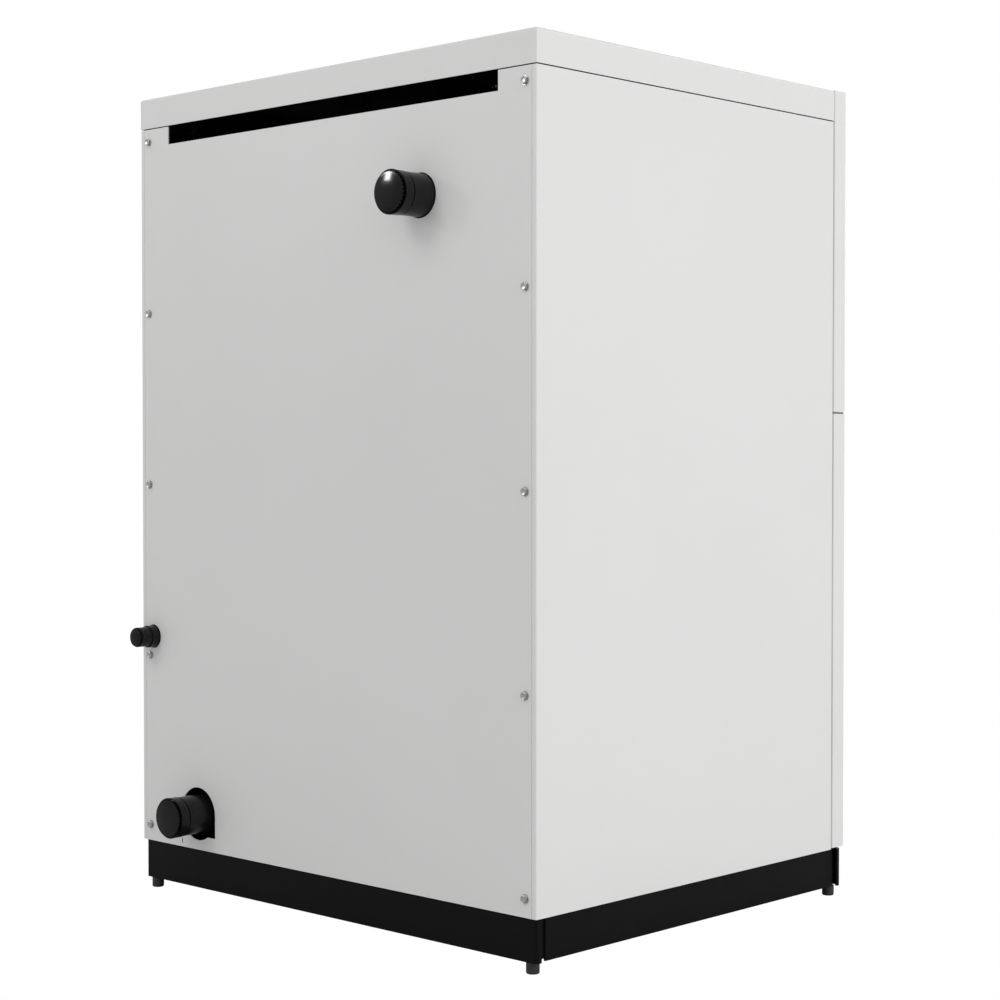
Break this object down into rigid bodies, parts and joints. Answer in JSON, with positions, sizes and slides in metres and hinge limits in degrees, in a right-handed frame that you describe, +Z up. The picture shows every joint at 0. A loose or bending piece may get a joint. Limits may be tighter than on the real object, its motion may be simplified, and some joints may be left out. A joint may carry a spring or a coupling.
{
  "type": "floor-standing gas boiler",
  "caption": "Floor-standing gas boiler: folded casing on a black plinth, two front doors, lift-off lid, cast-iron block, burners, hood and rear ports.",
  "frame": {"origin": "on the floor, in the middle of the outline", "axes": "+Z up, -Y out of the doors, +Y out of the pipe ports"},
  "size_m": [0.58, 0.528, 0.864],
  "materials": {
    "heat_black": "matt heat-resistant black",
    "casing_paint": "satin powder coat",
    "plinth_paint": "satin black",
    "screw_steel": "zinc plated",
    "galvanised_steel": "galvanised",
    "control_plastic": "matt",
    "black_plastic": "satin",
    "cap_plastic": "glossy black",
    "red_plastic": "glossy",
    "lamp_lens": "glossy",
    "gauge_glass": "clear",
    "cast_iron": "as cast",
    "plain_steel": "bright",
    "mineral_wool": "fibrous",
    "pipe_paint": "gloss black",
    "valve_aluminium": "cast",
    "brass": "machined",
    "lead_rubber": "matt",
    "copper": "drawn copper",
    "foot_plastic": "matt"
  },
  "bodies": {
    "casing": {"base_frame": "plinth_paint", "block_end_left": "cast_iron", "block_end_right": "cast_iron", "block_insulation": "mineral_wool", "block_middle_sections": "cast_iron", "block_nipples": "plain_steel", "burner_bars": "plain_steel", "burner_front_plate": "galvanised_steel", "cable_glands": "black_plastic", "capillary_tubes": "copper", "combustion_chamber": "galvanised_steel", "control_box": "control_plastic", "control_fascia": "control_plastic", "control_leads": "lead_rubber", "door_hinge_brackets": "galvanised_steel", "door_hinge_pins": "screw_steel", "drain_cock": "brass", "draught_hood": "heat_black", "flow_pipe": "pipe_paint", "flue_collar": "galvanised_steel", "front_rails": "galvanised_steel", "gas_manifold": "pipe_paint", "gas_pipe": "pipe_paint", "gas_valve": "valve_aluminium", "gauge_body": "black_plastic", "gauge_glass": "gauge_glass", "indicator_lamps": "lamp_lens", "magnetic_catches": "black_plastic", "main_switch_housing": "black_plastic", "pilot_burner": "plain_steel", "plinth_front": "plinth_paint", "plinth_rear": "plinth_paint", "plinth_sides": "plinth_paint", "rear_panel": "casing_paint", "rear_panel_screws": "screw_steel", "return_pipe": "pipe_paint", "side_panel_left": "casing_paint", "side_panel_right": "casing_paint", "thermostat_body": "black_plastic", "tie_rods": "screw_steel"},
    "upper_door": {"upper_door": "casing_paint", "upper_door_grip": "black_plastic"},
    "lower_door": {"lower_door": "casing_paint", "lower_door_grip": "black_plastic", "lower_door_insulation": "mineral_wool"},
    "lid": {"top_lid": "casing_paint"},
    "thermostat_knob": {"thermostat_knob": "black_plastic"},
    "gauge_needle": {"gauge_needle": "screw_steel"},
    "switch_rocker": {"main_switch_rocker": "black_plastic"},
    "reset_button": {"reset_button": "red_plastic"},
    "igniter_button": {"igniter_button": "black_plastic"},
    "gas_valve_knob": {"gas_valve_knob": "black_plastic"},
    "drain_lever": {"drain_lever": "brass"},
    "flow_cap": {"flow_cap": "cap_plastic"},
    "return_cap": {"return_cap": "cap_plastic"},
    "gas_cap": {"gas_cap": "cap_plastic"},
    "foot_front_left": {"foot_front_left": "foot_plastic"},
    "foot_front_right": {"foot_front_right": "foot_plastic"},
    "foot_rear_left": {"foot_rear_left": "foot_plastic"},
    "foot_rear_right": {"foot_rear_right": "foot_plastic"}
  },
  "joints": [
    {"name": "upper_door_hinge", "type": "hinge", "parent": "casing", "child": "upper_door", "pos_m": [0.2845, -0.256, 0.68], "axis": [0, 0, 1], "range_deg": [0, 95]},
    {"name": "lower_door_hinge", "type": "hinge", "parent": "casing", "child": "lower_door", "pos_m": [0.2845, -0.256, 0.28], "axis": [0, 0, 1], "range_deg": [0, 95]},
    {"name": "lid_lift", "type": "slide", "parent": "casing", "child": "lid", "axis": [0, 0, 1], "range_m": [0, 0.06]},
    {"name": "thermostat_turn", "type": "hinge", "parent": "casing", "child": "thermostat_knob", "pos_m": [-0.06, -0.24, 0.717], "axis": [0, -1, 0], "range_deg": [0, 270]},
    {"name": "needle_swing", "type": "hinge", "parent": "casing", "child": "gauge_needle", "pos_m": [0.062, -0.2277, 0.717], "axis": [0, -1, 0], "range_deg": [-120, 120], "stiffness_Nm_per_rad": 0.0005},
    {"name": "switch_rock", "type": "hinge", "parent": "casing", "child": "switch_rocker", "pos_m": [-0.16, -0.229, 0.717], "axis": [1, 0, 0], "range_deg": [0, 16]},
    {"name": "reset_press", "type": "slide", "parent": "casing", "child": "reset_button", "axis": [0, 1, 0], "range_m": [0, 0.004], "stiffness_N_per_m": 250, "springref_m": -0.002},
    {"name": "igniter_press", "type": "slide", "parent": "casing", "child": "igniter_button", "axis": [0, 1, 0], "range_m": [0, 0.005], "stiffness_N_per_m": 300, "springref_m": -0.002},
    {"name": "gas_valve_turn", "type": "hinge", "parent": "casing", "child": "gas_valve_knob", "pos_m": [0.174, -0.215, 0.198], "axis": [0, -1, 0], "range_deg": [0, 90]},
    {"name": "drain_turn", "type": "hinge", "parent": "casing", "child": "drain_lever", "pos_m": [0.136, -0.19, 0.27], "axis": [0, -1, 0], "range_deg": [0, 90]},
    {"name": "flow_cap_pull", "type": "slide", "parent": "casing", "child": "flow_cap", "axis": [0, 1, 0], "range_m": [0, 0.03]},
    {"name": "return_cap_pull", "type": "slide", "parent": "casing", "child": "return_cap", "axis": [0, 1, 0], "range_m": [0, 0.03]},
    {"name": "gas_cap_pull", "type": "slide", "parent": "casing", "child": "gas_cap", "axis": [0, 1, 0], "range_m": [0, 0.02]},
    {"name": "foot_front_left_screw", "type": "slide", "parent": "casing", "child": "foot_front_left", "axis": [0, 0, -1], "range_m": [0, 0.02]},
    {"name": "foot_front_right_screw", "type": "slide", "parent": "casing", "child": "foot_front_right", "axis": [0, 0, -1], "range_m": [0, 0.02]},
    {"name": "foot_rear_left_screw", "type": "slide", "parent": "casing", "child": "foot_rear_left", "axis": [0, 0, -1], "range_m": [0, 0.02]},
    {"name": "foot_rear_right_screw", "type": "slide", "parent": "casing", "child": "foot_rear_right", "axis": [0, 0, -1], "range_m": [0, 0.02]}
  ]
}
